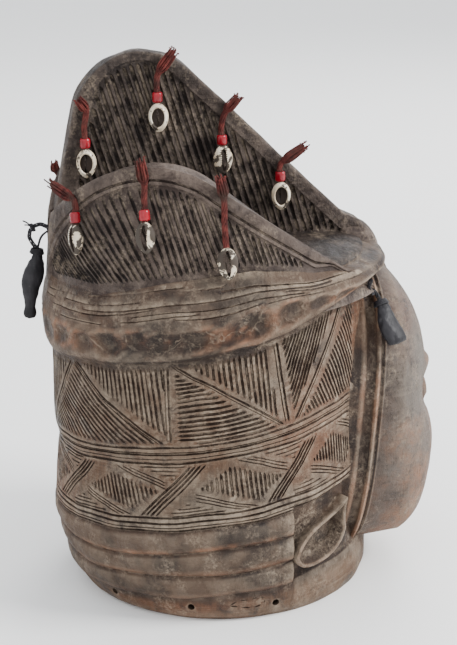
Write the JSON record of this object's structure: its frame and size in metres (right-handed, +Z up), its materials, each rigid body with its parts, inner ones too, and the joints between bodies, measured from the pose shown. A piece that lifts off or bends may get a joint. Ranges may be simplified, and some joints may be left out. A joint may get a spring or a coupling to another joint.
{
  "type": "helmet mask",
  "caption": "Tall carved wooden helmet mask with fluted crests, hatched hair, a neck ring collar, a calm face, cowrie pendants on red thread and black amulets.",
  "frame": {"origin": "centre of the underside, on the surface the mask stands on", "axes": "+Z up, the face looks along -Y, +X is the mask's left side"},
  "size_m": [0.243, 0.3045, 0.3942],
  "materials": {
    "wood": "aged dark hardwood, worn reddish on the edges, dusty in the cuts",
    "thread": "dull brick red twisted thread",
    "red_bead": "opaque glossy red glass",
    "cowrie_shell": "glossy cream shell, cut open and stained dark inside",
    "black_leather": "black creased leather",
    "black_cord": "black twisted cord"
  },
  "bodies": {
    "root": {"carved_mask": "wood", "cord_crest_1": "thread", "bead_crest_1": "red_bead", "cowrie_crest_1": "cowrie_shell", "cord_crest_2": "thread", "bead_crest_2": "red_bead", "cowrie_crest_2": "cowrie_shell", "cord_crest_3": "thread", "bead_crest_3": "red_bead", "cowrie_crest_3": "cowrie_shell", "cord_crest_4": "thread", "bead_crest_4": "red_bead", "cowrie_crest_4": "cowrie_shell", "cord_right_1": "thread", "bead_right_1": "red_bead", "cowrie_right_1": "cowrie_shell", "cord_right_2": "thread", "bead_right_2": "red_bead", "cowrie_right_2": "cowrie_shell", "cord_right_3": "thread", "cowrie_right_3": "cowrie_shell", "cord_left_1": "thread", "bead_left_1": "red_bead", "cowrie_left_1": "cowrie_shell", "cord_left_2": "thread", "bead_left_2": "red_bead", "cowrie_left_2": "cowrie_shell", "cord_left_3": "thread", "bead_left_3": "red_bead", "cowrie_left_3": "cowrie_shell", "amulet_back": "black_leather", "cord_amulet_back": "black_cord", "amulet_front": "black_leather", "cord_amulet_front": "black_cord"}
  },
  "joints": []
}
